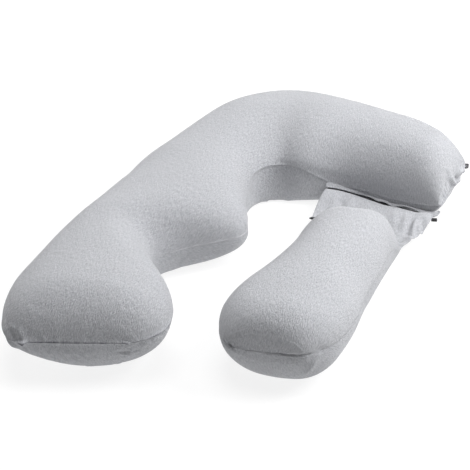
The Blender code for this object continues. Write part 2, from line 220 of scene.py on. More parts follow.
def add_thing(name, points, faces):
    """A new object in the scene, from its points and faces."""
    mesh = bpy.data.meshes.new(name)
    mesh.from_pydata(points, [], faces)
    mesh.update()
    thing = bpy.data.objects.new(name, mesh)
    bpy.context.scene.collection.objects.link(thing)
    return thing


def pillow_mesh(name, top, low, open_end=False):
    """A closed mesh of two panels that share their seams, and where each grid point is in it.
    With open_end the last ring isn't sewn shut but bridged across its thickness."""
    rings, columns = top.shape[:2]
    number = np.arange(2 * rings * columns).reshape(2, rings, columns)
    number[1, :, 0], number[1, :, -1] = number[0, :, 0], number[0, :, -1]
    number[1, 0] = number[0, 0]
    if not open_end:
        number[1, -1] = number[0, -1]
    used, packed = np.unique(number, return_inverse=True)
    points = np.concatenate([top.reshape(-1, 3), low.reshape(-1, 3)])[used]
    number = packed.reshape(number.shape)
    up, down = number
    faces = np.concatenate([
        np.stack([up[:-1, :-1], up[:-1, 1:], up[1:, 1:], up[1:, :-1]], -1).reshape(-1, 4),
        np.stack([down[:-1, :-1], down[1:, :-1], down[1:, 1:], down[:-1, 1:]], -1).reshape(-1, 4),
    ]).tolist()
    if open_end:
        for k in range(columns - 1):
            quad = [up[-1, k], up[-1, k + 1], down[-1, k + 1], down[-1, k]]
            faces.append([int(q) for n, q in enumerate(quad) if q not in quad[:n]])
    return add_thing(name, points.tolist(), faces), number


def read_mesh(mesh, what):
    """Vertex positions ("co") or vertex normals ("normal") as an array."""
    values = np.empty(len(mesh.vertices) * 3)
    if what == "normal":
        mesh.vertex_normals.foreach_get("vector", values)
    else:
        mesh.vertices.foreach_get("co", values)
    return values.reshape(-1, 3)


def fibre_puff(name, top, low, still, open_end=False):
    """Blows a coarse cover up as cloth, and gives back its panels where they settle. still picks
    the grid points that don't move, as an array over (panel, ring, column)."""
    trial, number = pillow_mesh(name, top, low, open_end)
    points = read_mesh(trial.data, "co")
    small = points - read_mesh(trial.data, "normal") * SHRINK_FIRST
    small[:, 2] = np.maximum(small[:, 2], 0.0)
    trial.data.vertices.foreach_set("co", small.ravel())
    group = trial.vertex_groups.new(name="still")
    group.add(np.unique(number[still]).tolist(), 1.0, "REPLACE")
    puff = trial.modifiers.new("Cloth", "CLOTH")
    puff.settings.quality = 5
    puff.settings.mass = 0.25
    puff.settings.tension_stiffness = 18
    puff.settings.compression_stiffness = 12
    puff.settings.shear_stiffness = 6
    puff.settings.bending_stiffness = 0.12
    puff.settings.use_pressure = True
    puff.settings.uniform_pressure_force = 4.0
    puff.settings.vertex_group_mass = "still"
    puff.settings.effector_weights.gravity = 0
    for step in range(1, PUFF_STEPS + 1):
        bpy.context.scene.frame_set(step)
    blown = trial.evaluated_get(bpy.context.evaluated_depsgraph_get())
    shift = read_mesh(blown.data, "co") - small
    reach = np.linalg.norm(shift, axis=1, keepdims=True)
    shift *= PUFF_LIMIT / np.maximum(PUFF_LIMIT, reach)
    bpy.data.objects.remove(trial)
    bpy.context.scene.frame_set(1)
    settled = small + shift
    settled[:, 2] = np.maximum(settled[:, 2], 0.0)
    return settled[number[0]], settled[number[1]]


def refine(grid, rough_rings, rough_columns, rings, columns):
    """The grid read at finer rings and columns, smoothly between its points."""
    grid = smooth_through(rough_rings, grid, rings)
    return smooth_through(rough_columns, grid.transpose(1, 0, 2), columns).transpose(1, 0, 2)


def walked(grid, axis):
    """Distance walked over the cloth along an axis of the grid."""
    steps = np.linalg.norm(np.diff(grid, axis=axis), axis=2)
    return np.concatenate([np.zeros_like(np.take(steps, [0], axis=axis)),
                           np.cumsum(steps, axis=axis)], axis=axis)


def soft_noise(place, pitch, seed):
    """Smooth uneven wave along a line, about -1 to 1, with features one pitch long."""
    draw = np.random.default_rng(seed).uniform(-1.0, 1.0, 4096)
    t = np.asarray(place) / pitch + 512.0
    k = np.floor(t).astype(int)
    f = t - k
    f = f * f * (3 - 2 * f)
    return draw[k % 4096] * (1 - f) + draw[(k + 1) % 4096] * f


GATHER_PITCH, FINE_GATHER_PITCH = 0.0085, 0.0048
GROOVE_HALF = 0.0032       # half width of the groove that a seam pulls
PAINTED_SEAM_HALF = 0.0015    # half width of the line itself


def seam_dressing(grid, ends, look, seed):
    """How far a panel stands out beside its seams, and each point's painted tone along the seam
    line.
    look(side, points) gives the groove's depth, the gathers' height and reach, how far the seam
    itself stands out, and its shade: above 0 painted shade in the crease, below 0 painted
    highlight."""
    across, along = walked(grid, 1), walked(grid, 0)
    rings = along[:, grid.shape[1] // 2][:, None]
    columns = across[grid.shape[0] // 3][None, :]
    sides = [("inner", across, rings), ("outer", across[:, -1:] - across, rings + 5)]
    if "first" in ends:
        sides.append(("first", along, columns + 11))
    if "last" in ends:
        sides.append(("last", along[-1:] - along, columns + 17))
    out, line = np.zeros(grid.shape[:2]), np.zeros(grid.shape[:2])
    for side, distance, place in sides:
        groove, gather, reach, stand, shade = look(side, grid)
        wave = (soft_noise(place, GATHER_PITCH, seed)
                + 0.6 * soft_noise(place, FINE_GATHER_PITCH, seed + 1))
        long_wave = 0.6 + 0.4 * soft_noise(place, 0.03, seed + 2)
        patchy = np.clip(0.75 + 0.5 * soft_noise(place, 0.012, seed + 3), 0, 1)
        fading = np.exp(-distance / reach) * (1 - np.exp(-distance / 0.003))
        out += gather * wave * long_wave * fading
        out -= groove * (hump(distance, 0, GROOVE_HALF) + 0.35 * np.exp(-distance / 0.010))
        out += stand * np.exp(-distance / 0.012)
        # painted shade along the seam's crease, and a painted highlight where shade is below 0
        line += shade * hump(distance, 0, PAINTED_SEAM_HALF) * patchy
    return out, line


BULGE_TIP, FOOT_CORNER, NECK_BEND = (-0.035, 0.010), (0.015, -0.520), (-0.050, 0.290)


def near(grid, place, reach):
    """1 at a place seen from above, falling smoothly to 0 about two reaches away."""
    return np.exp(-((grid[:, :, 0] - place[0])**2 + (grid[:, :, 1] - place[1])**2) / reach**2)


def body_seam_look(side, grid):
    """Puckered at both ends and at the bulge's tip, with painted shade in the seam's creases and a
    painted highlight along the bulge's seam.
    """
    x, y = grid[:, :, 0], grid[:, :, 1]
    # The last value of each return is the seam line's paint: above 0 painted shade in its crease,
    # below 0 painted highlight.
    if side == "first":
        right = hump(x, 0.0, 0.05)
        return 0.0042, 0.0020 + 0.0014 * right, 0.028, 0.0, 1.0
    if side == "last":
        return 0.0034, 0.0022, 0.034, 0.0, 0.4
    if side == "inner":
        tip = near(grid, BULGE_TIP, 0.065)
        foot = near(grid, FOOT_CORNER, 0.070)
        neck = near(grid, NECK_BEND, 0.100)
        # pale: where the bulge's seam gets a painted highlight instead of painted shade
        pale = ease((0.09 - y) / 0.03) * ease((y + 0.20) / 0.04)
        return (0.0007 + 0.0012 * neck + 0.0030 * foot + 0.0010 * tip,
                0.0001 + 0.0026 * tip + 0.0012 * foot + 0.0006 * neck,
                0.024, 0.006 * tip, 1.2 * foot + 0.5 * neck - pale)
    return 0.0018 + 0 * x, 0.0004, 0.014, 0.0, 0.3


lump = np.random.default_rng(3)
LUMPS = [(lump.normal(size=3) * f, lump.uniform(0, 6.28), a)
         for f, a in ((12, 0.0008), (19, 0.0006), (30, 0.0004), (45, 0.0003)) for _ in range(3)]


def fibre_lumps(points):
    """Slow unevenness of the filling below the cloth."""
    return sum(a * np.sin(points @ k + phase) for k, phase, a in LUMPS) * 0.5


def creases(points, table):
    """Troughs and ridges along listed lines. Each row: from x, y, z to x, y, z, half width,
    height.
    """
    out = np.zeros(points.shape[:-1])
    facing = np.cross(np.gradient(points, axis=0), np.gradient(points, axis=1))
    facing /= np.linalg.norm(facing, axis=-1, keepdims=True) + 1e-12
    for row in table:
        start, end, width, height = np.array(row[:3]), np.array(row[3:6]), row[6], row[7]
        line = end - start
        share = np.clip(((points - start) @ line) / (line @ line), 0, 1)
        away = points - start - share[..., None] * line
        through = np.sum(away * facing, axis=-1)
        apart = np.linalg.norm(away - through[..., None] * facing, axis=-1)
        out += (height * hump(apart, 0, width) * (0.35 + 0.65 * np.sin(math.pi * share))
                * (np.abs(through) < 0.03))
    return out


def stand_out(thing, out, line):
    """Moves the cover's points out along its own normals, and keeps what lies on the floor."""
    points, normals = read_mesh(thing.data, "co"), read_mesh(thing.data, "normal")
    out = out * np.clip(points[:, 2] / 0.012, 0, 1)
    points += normals * out[:, None]
    points[:, 2] = np.maximum(points[:, 2], 0.0)
    thing.data.vertices.foreach_set("co", points.ravel())
    thing.data.shade_smooth()
    thing.data.update()
    # The seam line's painted shade and painted highlight, read by the jersey's material.
    seam = thing.data.attributes.new("painted_seam_shade_and_highlight", "FLOAT", "POINT")
    seam.data.foreach_set("value", line)


def per_point(number, top, low):
    """Values over the two panels' grids as one value for each point of the mesh."""
    out = np.zeros(number.max() + 1)
    out[number[1]] = low
    out[number[0]] = top
    return out


def lay_grain(thing, number, top, low, lean):
    """A UV map of the cut cloth in metres, so that the knit keeps one direction over a panel.
    lean shifts the whole cover's cloth this far along the map's first axis."""
    place = np.zeros((number.max() + 1, 2))
    middle = top.shape[1] // 2
    crown = top[:, middle]
    steps = np.linalg.norm(np.diff(crown, axis=0), axis=1)
    heading = np.gradient(crown[:, :2], axis=0)
    heading /= np.linalg.norm(heading, axis=1, keepdims=True) + 1e-9
    flat_middle = np.concatenate([[[0.0, 0.0]], np.cumsum(heading[:-1] * steps[:, None], axis=0)])
    across = top[:, -1, :2] - top[:, 0, :2]
    across /= np.linalg.norm(across, axis=1, keepdims=True) + 1e-9
    for panel, grid in ((1, low), (0, top)):
        out = walked(grid, 1)
        out = out - out[:, middle:middle + 1]
        place[number[panel]] = (flat_middle[:, None] + out[:, :, None] * across[:, None]
                                + np.array((4.0 * panel + lean, 0.0)))
    layer = thing.data.uv_layers.new(name="grain")
    corner = np.empty(len(thing.data.loops), int)
    thing.data.loops.foreach_get("vertex_index", corner)
    layer.data.foreach_set("uv", place[corner].ravel())


def dress_cover(thing, number, panels, ends, look, seeds, tables, lean, share=1.0):
    """Seams, lumps and creases over both panels, as far as share goes, and the knit's lie."""
    dressed = []
    for grid, seed in zip(panels, seeds):
        out, line = seam_dressing(grid, ends, look, seed)
        out += fibre_lumps(grid) + sum(creases(grid, table) for table in tables)
        dressed.append((out * share, line * share))
    (top_out, top_painted_seam), (low_out, low_painted_seam) = dressed
    stand_out(thing, per_point(number, top_out, low_out), per_point(number, top_painted_seam, low_painted_seam))
    lay_grain(thing, number, panels[0], panels[1], lean)


body_length = section_length(BODY_SECTIONS)[0]
rough_where = ring_places(body_length, BODY_FOOT_ROUND, BODY_HEAD_ROUND, lambda s: CLOTH_RING, 0.3)
rough_shares = np.linspace(0.0, 1.0, CLOTH_COLUMNS + 1)
rough_top, rough_low = body_panels(rough_where, rough_shares)
still = np.zeros((2,) + rough_top.shape[:2], bool)
still[1] = rough_low[:, :, 2] < ON_FLOOR
rough_top, rough_low = fibre_puff("body_trial", rough_top, rough_low, still)


def body_spacing(place):
    """Rings lie closer together where the seam is gathered."""
    return (0.0046 - 0.0020 * hump(place, 0.66, 0.09) - 0.0012 * hump(place, 0.0, 0.10)
            - 0.0014 * hump(place, body_length, 0.08))


fine_where = ring_places(body_length, BODY_FOOT_ROUND, BODY_HEAD_ROUND, body_spacing)
fine_columns = fine_shares(78, 0.42)
body_top = refine(rough_top, rough_where, rough_shares, fine_where, fine_columns)
body_low = refine(rough_low, rough_where, rough_shares, fine_where, fine_columns)
main_body, number = pillow_mesh("main_body", body_top, body_low)

FOOT_CREASES = (
    # the gathered corner at the left end of the foot's seam
    (-0.294, -0.676, 0.138, -0.266, -0.690, 0.120, 0.009, -0.0060),
    (-0.270, -0.684, 0.136, -0.256, -0.690, 0.118, 0.006, 0.0050),
    (-0.282, -0.682, 0.112, -0.262, -0.686, 0.096, 0.007, 0.0045),
    (-0.292, -0.676, 0.104, -0.270, -0.682, 0.082, 0.006, -0.0050),
    (-0.248, -0.686, 0.112, -0.236, -0.680, 0.122, 0.005, -0.0055),
    (-0.246, -0.684, 0.100, -0.246, -0.676, 0.080, 0.007, 0.0060),
    (-0.236, -0.682, 0.136, -0.246, -0.684, 0.104, 0.005, -0.0050),
    (-0.276, -0.680, 0.150, -0.262, -0.684, 0.142, 0.004, -0.0040),
    (-0.254, -0.684, 0.156, -0.246, -0.688, 0.134, 0.004, -0.0030),
    (-0.232, -0.678, 0.150, -0.236, -0.682, 0.124, 0.005, 0.0030),
    # slack cloth below that seam, drawn aslant
    (-0.226, -0.676, 0.110, -0.212, -0.640, 0.050, 0.005, -0.0026),
    (-0.206, -0.668, 0.108, -0.186, -0.625, 0.045, 0.006, -0.0030),
    (-0.186, -0.660, 0.106, -0.164, -0.618, 0.042, 0.005, -0.0024),
    (-0.166, -0.650, 0.104, -0.142, -0.612, 0.044, 0.006, -0.0028),
    (-0.145, -0.640, 0.100, -0.122, -0.606, 0.050, 0.005, -0.0020),
    (-0.120, -0.630, 0.098, -0.100, -0.602, 0.056, 0.005, -0.0018),
    (-0.060, -0.597, 0.086, -0.020, -0.570, 0.084, 0.004, 0.0030),
    (-0.055, -0.592, 0.078, -0.018, -0.565, 0.076, 0.004, -0.0030),
    (-0.030, -0.575, 0.096, -0.046, -0.578, 0.056, 0.004, -0.0035),
    # the seam's right end
    (-0.010, -0.570, 0.104, 0.012, -0.530, 0.102, 0.004, -0.0035),
    (0.012, -0.520, 0.106, 0.014, -0.480, 0.104, 0.004, -0.0030),
    (-0.012, -0.572, 0.120, -0.010, -0.568, 0.098, 0.004, 0.0030),
    (0.004, -0.550, 0.122, 0.006, -0.544, 0.098, 0.004, 0.0028),
)
HEAD_CREASES = (
    # drag lines below the head's seam
    (-0.100, 0.252, 0.088, -0.060, 0.288, 0.082, 0.0045, -0.0022),
    (-0.060, 0.288, 0.082, 0.040, 0.318, 0.094, 0.0045, -0.0024),
    (-0.082, 0.277, 0.060, -0.058, 0.289, 0.070, 0.0040, -0.0018),
    (-0.052, 0.292, 0.128, -0.050, 0.292, 0.108, 0.0035, -0.0025),
    # folds of the squared right end
    (0.370, 0.430, 0.130, 0.378, 0.400, 0.062, 0.010, 0.0030),
    (0.381, 0.440, 0.110, 0.384, 0.476, 0.070, 0.007, -0.0100),
    (0.384, 0.480, 0.092, 0.388, 0.510, 0.070, 0.006, 0.0085),
    (0.386, 0.496, 0.066, 0.390, 0.530, 0.060, 0.006, -0.0085),
    (0.386, 0.500, 0.100, 0.390, 0.545, 0.082, 0.006, -0.0075),
    (0.384, 0.470, 0.050, 0.388, 0.510, 0.036, 0.007, 0.0045),
    (0.376, 0.430, 0.146, 0.380, 0.452, 0.104, 0.006, -0.0030),
)
dress_cover(main_body, number, (body_top, body_low), ("first", "last"), body_seam_look, (21, 25),
            (FOOT_CREASES, HEAD_CREASES), lean=0.0)


def new_finish(name, roughness):
    """A new material with its nodes, its links and its shader."""
    finish = bpy.data.materials.new(name)
    finish.use_nodes = True
    nodes = finish.node_tree.nodes
    shader = nodes["Principled BSDF"]
    shader.inputs["Roughness"].default_value = roughness
    return finish, nodes, finish.node_tree.links, shader


def two_colours(nodes, links, share, dark, pale, from_share=0.0, to_share=1.0):
    """The colour between dark and pale by a share."""
    ramp = nodes.new("ShaderNodeValToRGB")
    ends = ramp.color_ramp.elements
    ends[0].position, ends[1].position = from_share, to_share
    ends[0].color, ends[1].color = dark + (1,), pale + (1,)
    links.new(share, ramp.inputs["Fac"])
    return ramp.outputs["Color"]


def raise_relief(nodes, links, shader, height, strength, distance):
    bump = nodes.new("ShaderNodeBump")
    bump.inputs["Strength"].default_value = strength
    bump.inputs["Distance"].default_value = distance
    links.new(height, bump.inputs["Height"])
    links.new(bump.outputs["Normal"], shader.inputs["Normal"])


def melange_jersey():
    """Heather grey single jersey: pale and dark fibres spun together, brushed and matte, with
    painted shade and a painted highlight along its seams.
    """
    cloth, nodes, links, shader = new_finish("grey_melange_jersey", 0.92)
    shader.inputs["Specular IOR Level"].default_value = 0.2
    shader.inputs["Sheen Weight"].default_value = 0.25
    shader.inputs["Sheen Roughness"].default_value = 0.5
    grain = nodes.new("ShaderNodeUVMap")
    grain.uv_map = "grain"

    def fleck(pitch_across, pitch_along, detail):
        stretch = nodes.new("ShaderNodeMapping")
        stretch.inputs["Scale"].default_value = (1 / pitch_across, 1 / pitch_along, 1.0)
        links.new(grain.outputs["UV"], stretch.inputs["Vector"])
        noise = nodes.new("ShaderNodeTexNoise")
        noise.inputs["Scale"].default_value = 1.0
        noise.inputs["Detail"].default_value = detail
        links.new(stretch.outputs["Vector"], noise.inputs["Vector"])
        return noise.outputs["Fac"]

    long_fleck = fleck(0.0026, 0.0110, 2.0)
    short_fleck = fleck(0.0015, 0.0048, 2.0)
    blend = nodes.new("ShaderNodeMath")
    blend.operation = "ADD"
    links.new(long_fleck, blend.inputs[0])
    links.new(short_fleck, blend.inputs[1])
    half = nodes.new("ShaderNodeMath")
    half.operation = "MULTIPLY"
    half.inputs[1].default_value = 0.5
    links.new(blend.outputs[0], half.inputs[0])
    colour = two_colours(nodes, links, half.outputs[0], (0.305, 0.312, 0.336),
                         (0.505, 0.511, 0.533), 0.36, 0.63)
    # The seam line's value: above 0 painted shade darkens the seams' creases, below 0 a painted
    # highlight pales the bulge's seam.
    seam = nodes.new("ShaderNodeAttribute")
    seam.attribute_name = "painted_seam_shade_and_highlight"
    for sign, painted_seam_tint in ((1.0, (0.09, 0.09, 0.11, 1)), (-1.0, (0.74, 0.74, 0.77, 1))):
        share = nodes.new("ShaderNodeMath")
        share.operation = "MULTIPLY"
        share.use_clamp = True
        share.inputs[1].default_value = 0.85 * sign
        links.new(seam.outputs["Fac"], share.inputs[0])
        painted_seam_mix = nodes.new("ShaderNodeMix")
        painted_seam_mix.data_type = "RGBA"
        painted_seam_mix.inputs[7].default_value = painted_seam_tint
        links.new(share.outputs[0], painted_seam_mix.inputs[0])
        links.new(colour, painted_seam_mix.inputs[6])
        colour = painted_seam_mix.outputs[2]
    links.new(colour, shader.inputs["Base Color"])
    raise_relief(nodes, links, shader, half.outputs[0], 0.9, 0.0052)
    return cloth


jersey = melange_jersey()
main_body.data.materials.append(jersey)
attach(main_body, "root")
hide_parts("main_pillow")

# ---------------------------------------------------------------------------------------------
# Side leg. A cover of its own in the same jersey, filled up to the bend of the head. From there
# the empty cover runs on as two flat layers, slack and lightly folded, up to the zip.
LEG_SECTIONS = (
    (0.162, -0.434, 0.380, -0.383, 0.215, 0.120, 0.122, 1.00, 0.62),    # near end
    (0.123, -0.330, 0.401, -0.280, 0.215, 0.114, 0.114, 0.90, 0.75),
    (0.142, -0.150, 0.387, -0.120, 0.215, 0.105, 0.105, 0.70, 0.60),
    (0.160, 0.000, 0.379, 0.020, 0.215, 0.105, 0.105, 0.75, 0.60),
    (0.148, 0.120, 0.373, 0.130, 0.210, 0.100, 0.100, 0.80, 0.60),
    (0.122, 0.210, 0.372, 0.215, 0.200, 0.095, 0.095, 0.80, 0.60),      # the filling ends soon
    (0.092, 0.300, 0.384, 0.305, 0.200, 0.095, 0.095, 0.90, 0.90),
    (0.086, 0.405, 0.391, 0.415, 0.200, 0.095, 0.095, 0.90, 0.90),      # the zip
)
LEG_FOOT_ROUND = 0.110
LEG_FOOT_FULLNESS = 2.7
LEG_FOOT_NARROWING = 0.36
LEG_FILL_ROUND = 0.110     # the filling's far end turns down over this length
LEG_FILL_END = 0.600       # where the filling ends along the middle of the leg
LEG_FILL_CORNER = 0.080    # it ends this much earlier at the seams
LEG_FILL_RIGHT = 0.095     # but reaches this much further at the right
LEG_FILL_POWER = 1.6       # how soon the filling thins out towards its far end
LEG_COLUMNS = 30           # columns of each panel while it is blown up
TAIL_EDGE_LIFT = 0.050     # the empty cover's edges start this high beside the filling
TAIL_RISE_START = 0.700    # where it starts to rise to the zip
TAIL_THICK = 0.010         # its two layers and the air between them
TAIL_EDGE_THICK = 0.004
JOIN_LEFT, JOIN_RIGHT = 0.090, 0.384         # plan x of the zip's two ends
FLAP_HEIGHT_LEFT, FLAP_HEIGHT_RIGHT, FLAP_SAG = 0.073, 0.045, 0.008
ZIP_BELOW_FLAP, ZIP_END_DROOP, ZIP_WIDTH, ZIP_THICK = 0.0135, 0.003, 0.014, 0.0024
CLOTH_GAP = 0.0007         # what is sewn to the head stays this far off its solid
SEARCH_FROM = 0.25         # plan y in front of the head, from which its front is looked for


def tree_of(thing):
    """A search tree over a thing's own faces, in world space."""
    points = [thing.matrix_world @ v.co for v in thing.data.vertices]
    return BVHTree.FromPolygons(points, [tuple(p.vertices) for p in thing.data.polygons])


solid_head = tree_of(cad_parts["main_pillow"])


def head_front(x, z):
    """The head's front face in the pillow's own plan, at plan x and height z."""
    start = Vector((x + PLAN_SHIFT[0], SEARCH_FROM + PLAN_SHIFT[1], z))
    return solid_head.ray_cast(start, Vector((0.0, 1.0, 0.0)))[0].y - PLAN_SHIFT[1]


def clear_of_head(x, z, thick):
    """The plan y at which a layer this thick clears the head, over a few mm of its length."""
    x = min(x, JOIN_RIGHT + 0.006)
    return min(head_front(x + dx, z + dz) for dx in (-0.0033, 0.0, 0.0033)
               for dz in (-thick / 2, 0.0, thick / 2)) - CLOTH_GAP


def along_join(x):
    """Share of the way along the join, 0 at its left end."""
    return min(max((x - JOIN_LEFT) / (JOIN_RIGHT - JOIN_LEFT), 0.0), 1.0)


def flap_height(x):
    t = along_join(x)
    return (FLAP_HEIGHT_LEFT + (FLAP_HEIGHT_RIGHT - FLAP_HEIGHT_LEFT) * t
            - FLAP_SAG * 4 * t * (1 - t))


def zip_height(x):
    return flap_height(x) - ZIP_BELOW_FLAP - ZIP_END_DROOP * along_join(x)**4


join_x = np.linspace(JOIN_LEFT, JOIN_RIGHT - 0.024, 60)
join_y = np.array([clear_of_head(x, zip_height(x), ZIP_THICK) - ZIP_WIDTH for x in join_x])


def zip_front(x):
    """The front edge of the zip's tape at plan x."""
    return np.interp(x, join_x, join_y)


def zip_lap(x):
    """How far the cover's edge laps over the zip at plan x, and how much it is lifted there."""
    t = (x - JOIN_LEFT) / (JOIN_RIGHT - JOIN_LEFT)
    corner = ease((t - 0.86) / 0.07)
    return 0.004 * corner, 0.005 * ease((t - 0.55) / 0.12) + 0.0035 * corner


# Folds of the slack cover: from x, y to x, y in plan, half width, height.
TAIL_FOLDS = (
    (0.116, 0.410, 0.128, 0.330, 0.007, 0.0060),
    (0.136, 0.410, 0.150, 0.330, 0.008, -0.0070),
    (0.164, 0.412, 0.170, 0.350, 0.006, 0.0035),
    (0.186, 0.412, 0.190, 0.350, 0.007, -0.0035),
    (0.214, 0.412, 0.212, 0.350, 0.007, 0.0030),
    (0.290, 0.400, 0.300, 0.350, 0.010, 0.0040),
    (0.322, 0.410, 0.330, 0.340, 0.007, 0.0060),
    (0.340, 0.410, 0.350, 0.320, 0.005, -0.0060),
    (0.352, 0.380, 0.372, 0.300, 0.005, 0.0080),
    (0.366, 0.400, 0.392, 0.320, 0.005, -0.0070),
    (0.372, 0.360, 0.396, 0.300, 0.004, 0.0080),
    (0.352, 0.300, 0.385, 0.268, 0.004, 0.0070),
    (0.345, 0.270, 0.382, 0.245, 0.004, -0.0060),
)


def tail_folds(x, y):
    """Height of the slack folds of the empty cover at plan x and y."""
    out = np.zeros_like(x)
    for x0, y0, x1, y1, width, height in TAIL_FOLDS:
        across, up = x1 - x0, y1 - y0
        size = math.hypot(across, up)
        along = ((x - x0) * across + (y - y0) * up) / size**2
        aside = ((x - x0) * up - (y - y0) * across) / size
        past_end = np.maximum(np.abs(along - 0.5) - 0.35, 0)
        out += height * hump(aside, 0, width) * hump(past_end, 0, 0.2)
    return out


def leg_panels(where, shares):
    """The side leg's two panels as grids of points, filled part and empty tail in one."""
    length = section_length(LEG_SECTIONS)[0]
    part = read_sections(LEG_SECTIONS, where)
    at_foot = round_over(where, LEG_FOOT_ROUND)
    end_full = round_over(where, LEG_FOOT_ROUND, LEG_FOOT_FULLNESS)
    rising = ease((where - TAIL_RISE_START) / (length - TAIL_RISE_START))
    reaching = ease((where - LEG_FILL_END) / (length - LEG_FILL_END))
    last = LEG_SECTIONS[-1]
    panels = [[], []]
    for i in range(len(where)):
        inner = np.array((part["inner_x"][i], part["inner_y"][i]))
        outer = np.array((part["outer_x"][i], part["outer_y"][i]))
        middle = (inner + outer) / 2
        half = (outer - inner) / 2 * (1 - LEG_FOOT_NARROWING * (1 - at_foot[i]))
        flat = TAIL_THICK + (TAIL_EDGE_THICK - TAIL_THICK) * rising[i]
        for which, curve in enumerate((panel_curve(CROWN, CROWN),
                                       panel_curve(part["inner_tuck"][i], part["outer_tuck"][i]))):
            across, height = curve[:, 0], curve[:, 1]
            fill_end = (LEG_FILL_END - LEG_FILL_CORNER * across**2
                        + LEG_FILL_RIGHT * ease(across / 0.95))
            filled = round_over(fill_end - where[i], LEG_FILL_ROUND)**LEG_FILL_POWER
            rise = (across + 1) / 2
            full_seam = part["inner_seam"][i] * (1 - rise) + part["outer_seam"][i] * rise
            x = middle[0] + half[0] * across
            y = middle[1] + half[1] * across
            chord_share = (x - last[0]) / (last[2] - last[0])
            chord = last[1] + (last[3] - last[1]) * chord_share
            lap, lift = zip_lap(x)
            y = y + (zip_front(x) - 0.001 + lap - chord) * reaching[i]
            low = rising[i] * (np.array([zip_height(v) for v in x]) - flat / 2 + lift)
            low = low + TAIL_EDGE_LIFT * across**2 * (1 - reaching[i])
            slack = min(3 * reaching[i], 1.0) * (1 - filled) * (1 - rising[i]**6)
            low = np.maximum(low + (tail_folds(x, y) + 0.004) * slack, 0.0)
            low = low * (1 - filled)
            top = low + flat + (part["top"][i] - low - flat) * filled
            seam = low + flat / 2 + (full_seam - low - flat / 2) * filled
            if which == 0:
                z = seam + (top - seam) * height * end_full[i]
            else:
                z = np.maximum(seam - (seam - low) * FLOOR_PRESS * height * at_foot[i], low)
            line = np.stack([x + PLAN_SHIFT[0], y + PLAN_SHIFT[1], z], -1)
            panels[which].append(by_distance(line, shares))
    return np.array(panels[0]), np.array(panels[1])


leg_length = section_length(LEG_SECTIONS)[0]
rough_where = ring_places(leg_length, LEG_FOOT_ROUND, 0, lambda s: CLOTH_RING, 0.3)
rough_shares = np.linspace(0.0, 1.0, LEG_COLUMNS + 1)
rough_top, rough_low = leg_panels(rough_where, rough_shares)
still = np.zeros((2,) + rough_top.shape[:2], bool)
still[1] = rough_low[:, :, 2] < ON_FLOOR
still[:, rough_where > LEG_FILL_END - 0.02] = True
plain_top, plain_low = rough_top, rough_low
rough_top, rough_low = fibre_puff("leg_trial", rough_top, rough_low, still, open_end=True)
blown = (1 - ease((rough_where - LEG_FILL_END + 0.20) / 0.12))[:, None, None]
rough_top = plain_top + (rough_top - plain_top) * blown
rough_low = plain_low + (rough_low - plain_low) * blown


def leg_spacing(place):
    """Rings lie closer together at the near end and over the folded tail."""
    return 0.0046 - 0.0012 * hump(place, 0.0, 0.10) - 0.0014 * (place > LEG_FILL_END - 0.12)


fine_where = ring_places(leg_length, LEG_FOOT_ROUND, 0, leg_spacing)
fine_columns = fine_shares(72, 0.34)
leg_top = refine(rough_top, rough_where, rough_shares, fine_where, fine_columns)
leg_low = refine(rough_low, rough_where, rough_shares, fine_where, fine_columns)
side_leg, number = pillow_mesh("side_leg", leg_top, leg_low, open_end=True)


LEG_CORNER = (0.335, -0.455)


def leg_seam_look(side, grid):
    """Puckered across the near end, where only the right half carries a dark line of painted
    shade.
    """
    x, y = grid[:, :, 0], grid[:, :, 1]
    if side == "first":
        right = ease((x - 0.24) / 0.05) * (1 - 0.7 * ease((x - 0.325) / 0.02))
        return 0.0003 + 0.0015 * right, 0.0020, 0.030, 0.0, 0.12 + 0.60 * right
    near_end = hump(y, -0.50, 0.07)
    corner = near(grid, LEG_CORNER, 0.045)
    # corner adds painted shade in the dimple at the seam's right end
    return (0.0006 + 0.0010 * near_end + 0.0006 * corner,
            0.0001 + 0.0010 * near_end, 0.020, 0.0, 0.2 * corner)


LEG_CREASES = (
    (0.158, -0.495, 0.134, 0.182, -0.507, 0.112, 0.004, -0.0045),       # left end of the seam
    (0.300, -0.476, 0.124, 0.345, -0.452, 0.124, 0.003, -0.0025),
    (0.352, -0.448, 0.128, 0.364, -0.420, 0.122, 0.007, -0.0045),       # dimple at its right end
    (0.356, -0.436, 0.118, 0.322, -0.470, 0.020, 0.009, 0.0040),        # the corner below it
)
filled_part = (1 - ease((fine_where - LEG_FILL_END + 0.06) / 0.06))[:, None]
dress_cover(side_leg, number, (leg_top, leg_low), ("first",), leg_seam_look, (31, 35),
            (LEG_CREASES,), lean=1.7, share=filled_part)
side_leg.data.materials.append(jersey)
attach(side_leg, "root")
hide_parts("side_pillow")

# ---------------------------------------------------------------------------------------------
# Flap over the zip. A strip of the same jersey, folded double, hemmed and sewn to the front of
# the head along its fold. It hangs over the zip and its free edge waves.
FLAP_PAST_LEFT, FLAP_PAST_RIGHT = 0.006, 0.014    # how far it runs past the zip's ends
FLAP_FALL = 0.70                       # radians below level at which it stands out
FLAP_LAYER = 0.0012                    # thickness of the folded strip
FLAP_ROLL = 0.0008                     # radius of the fold at its sewn edge
# Share along the join, rise of the sewn edge, and how wide the strip hangs there.
FLAP_WAVES = (
    (0.00, 0.0005, 0.0158), (0.10, -0.0030, 0.0125), (0.20, -0.0063, 0.0094),
    (0.34, -0.0080, 0.0052), (0.42, -0.0075, 0.0056), (0.48, -0.0068, 0.0084),
    (0.54, -0.0055, 0.0066), (0.60, -0.0080, 0.0082), (0.67, -0.0060, 0.0062),
    (0.74, -0.0040, 0.0036), (0.79, -0.0045, 0.0036), (0.84, -0.0055, 0.0050),
    (0.90, -0.0070, 0.0085), (0.96, -0.0085, 0.0120), (1.00, -0.0090, 0.0165),
)


